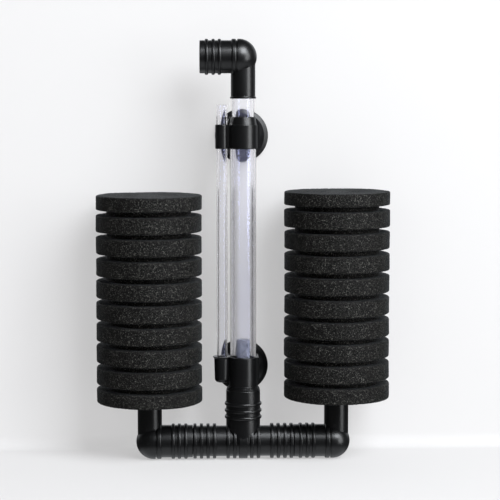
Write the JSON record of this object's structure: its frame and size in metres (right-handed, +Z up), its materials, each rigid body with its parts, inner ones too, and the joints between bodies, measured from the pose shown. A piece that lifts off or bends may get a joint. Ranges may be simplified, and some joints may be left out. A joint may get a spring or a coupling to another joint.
{
  "type": "aquarium double sponge filter",
  "caption": "Air-lift aquarium sponge filter: grooved foam cylinders on a ribbed manifold, clear telescoping riser with outlet elbow, side air tube and suction cups.",
  "frame": {"origin": "middle of the bounding box's base, on the riser's axis, level with the manifold's lowest rib", "axes": "+Z up the riser, +X along the manifold towards the viewer's right, +Y towards the wall that the suction cups hold"},
  "size_m": [0.1672, 0.06, 0.24],
  "materials": {
    "black_plastic": "satin",
    "black_foam": "matte",
    "clear_plastic": "gloss",
    "pale_plastic": "satin",
    "black_rubber": "satin"
  },
  "bodies": {
    "base": {"tee_manifold": "black_plastic", "air_jet_connector": "black_plastic", "air_nozzle": "pale_plastic", "lower_riser_tube": "clear_plastic", "air_tube": "clear_plastic", "upper_clip": "black_plastic"},
    "left_arm": {"left_elbow": "black_plastic", "left_strainer_tube": "black_plastic", "left_strainer_cap": "black_plastic"},
    "right_arm": {"right_elbow": "black_plastic", "right_strainer_tube": "black_plastic", "right_strainer_cap": "black_plastic"},
    "left_foam": {"left_sponge": "black_foam"},
    "right_foam": {"right_sponge": "black_foam"},
    "upper_tube": {"upper_riser_tube": "clear_plastic"},
    "outlet": {"outlet_elbow": "black_plastic"},
    "upper_cup": {"upper_suction_cup": "black_rubber"},
    "lower_cup": {"lower_suction_cup": "black_rubber"}
  },
  "joints": [
    {"name": "left_arm_swivel", "type": "hinge", "parent": "base", "child": "left_arm", "pos_m": [-0.035, 0, 0.01015], "axis": [1, 0, 0], "continuous": true},
    {"name": "right_arm_swivel", "type": "hinge", "parent": "base", "child": "right_arm", "pos_m": [0.035, 0, 0.01015], "axis": [1, 0, 0], "continuous": true},
    {"name": "left_sponge_pull_off", "type": "slide", "parent": "left_arm", "child": "left_foam", "axis": [0, 0, 1], "range_m": [0, 0.066]},
    {"name": "right_sponge_pull_off", "type": "slide", "parent": "right_arm", "child": "right_foam", "axis": [0, 0, 1], "range_m": [0, 0.11]},
    {"name": "riser_telescope", "type": "slide", "parent": "base", "child": "upper_tube", "axis": [0, 0, 1], "range_m": [-0.009, 0.11]},
    {"name": "outlet_swivel", "type": "hinge", "parent": "upper_tube", "child": "outlet", "pos_m": [0, 0, 0.212], "axis": [0, 0, 1], "continuous": true},
    {"name": "upper_cup_spin", "type": "hinge", "parent": "base", "child": "upper_cup", "pos_m": [0, 0.0158, 0.18465], "axis": [0, 1, 0], "continuous": true},
    {"name": "lower_cup_spin", "type": "hinge", "parent": "base", "child": "lower_cup", "pos_m": [0, 0.0158, 0.0494], "axis": [0, 1, 0], "continuous": true}
  ]
}
